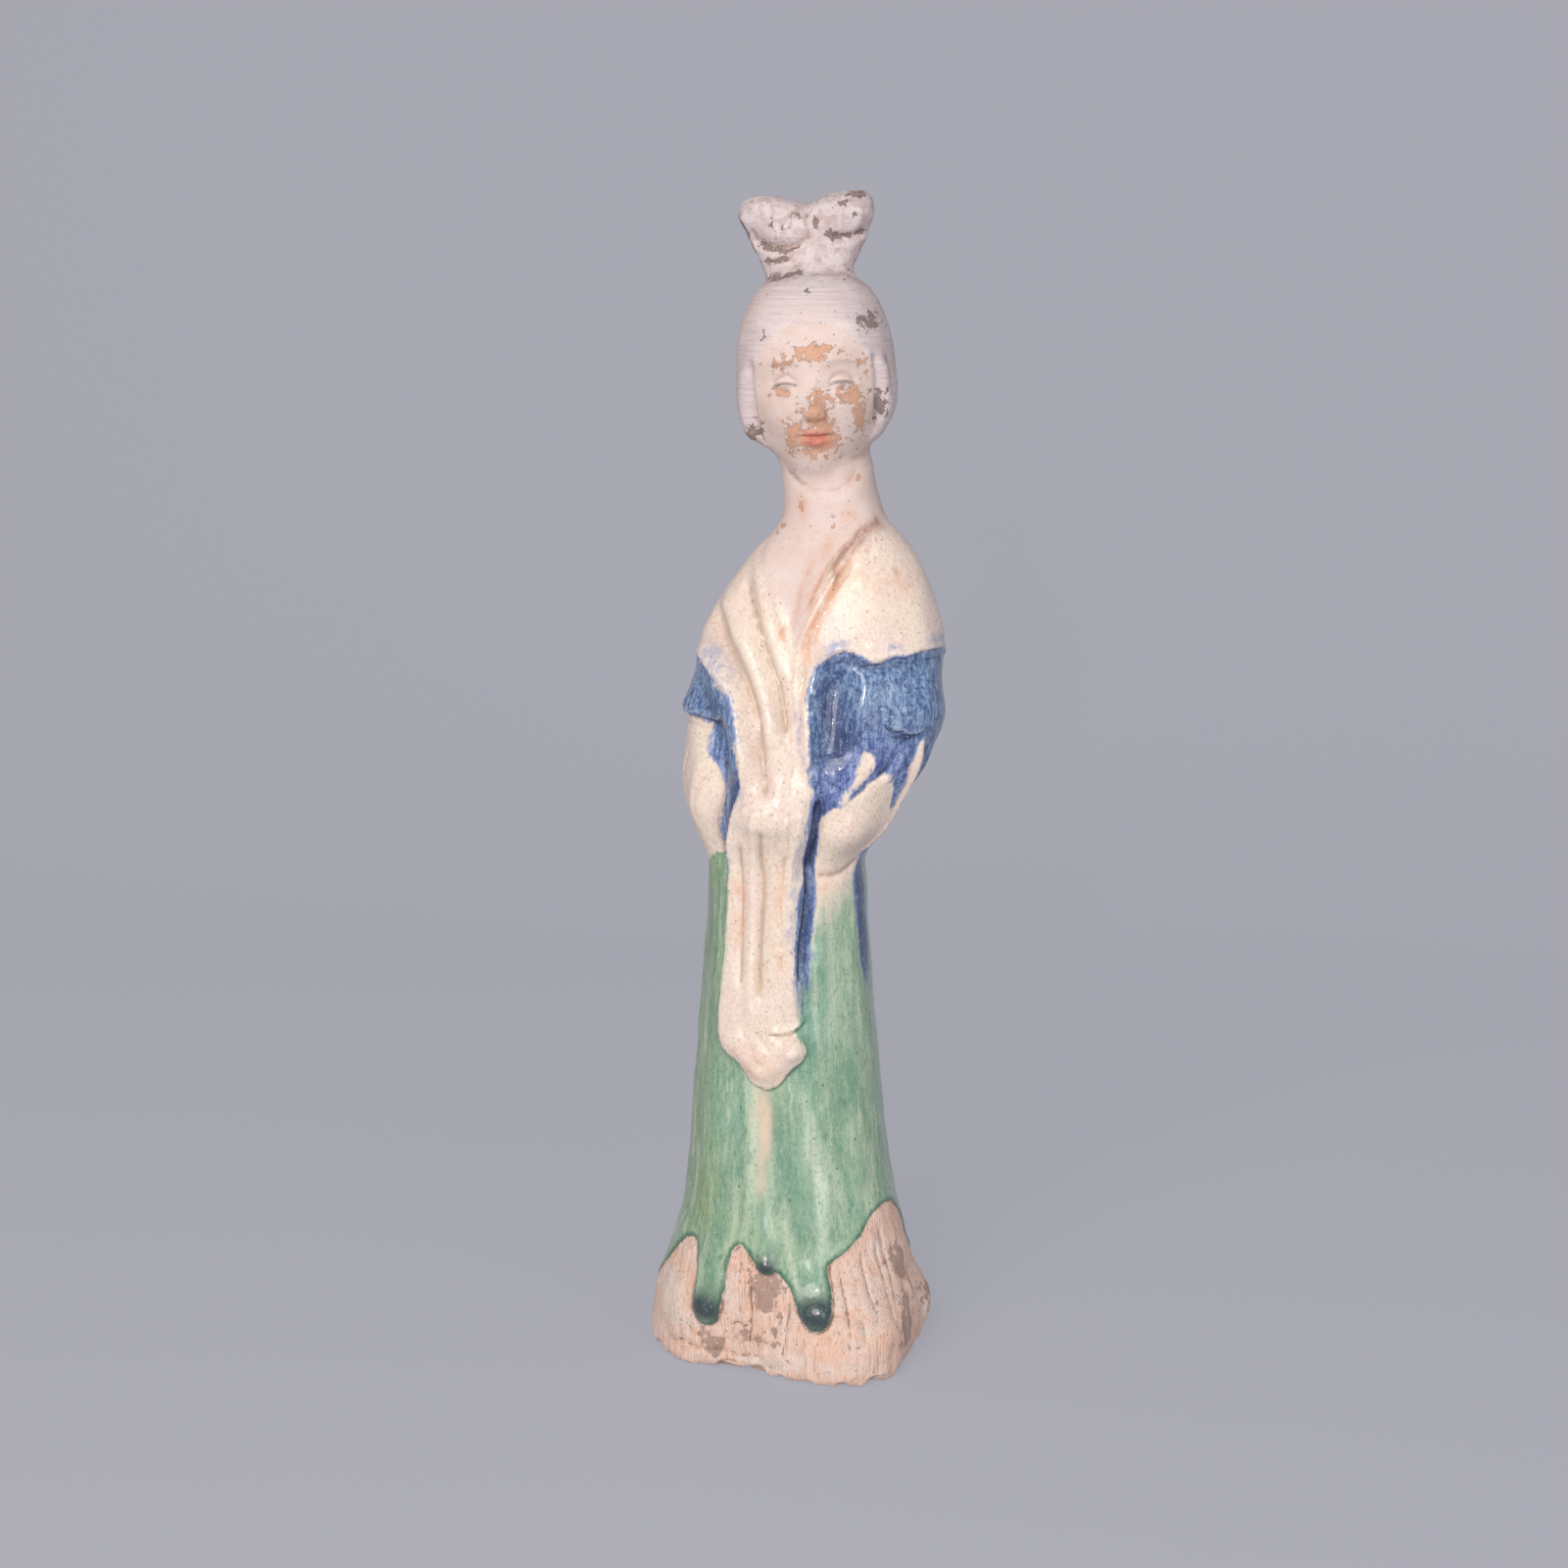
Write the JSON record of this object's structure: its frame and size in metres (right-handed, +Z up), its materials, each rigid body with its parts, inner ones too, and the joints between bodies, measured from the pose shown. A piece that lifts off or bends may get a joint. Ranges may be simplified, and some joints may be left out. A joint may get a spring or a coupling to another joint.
{
  "type": "glazed earthenware court lady figure",
  "caption": "Standing court lady in hollow moulded earthenware with cream, blue and green lead glaze, shawl, long skirt and two-lobed hair knot.",
  "frame": {"origin": "middle of the footprint, on the plane that the hem stands on", "axes": "+Z up along her height, -Y out of her front, +X to her left"},
  "size_m": [0.0775, 0.0619, 0.3],
  "materials": {
    "glazed_earthenware": "cream, cobalt blue and copper green lead glaze over pinkish buff clay, with bare clay at the foot and worn painted slip on the head"
  },
  "bodies": {
    "root": {"court_lady": "glazed_earthenware"}
  },
  "joints": []
}
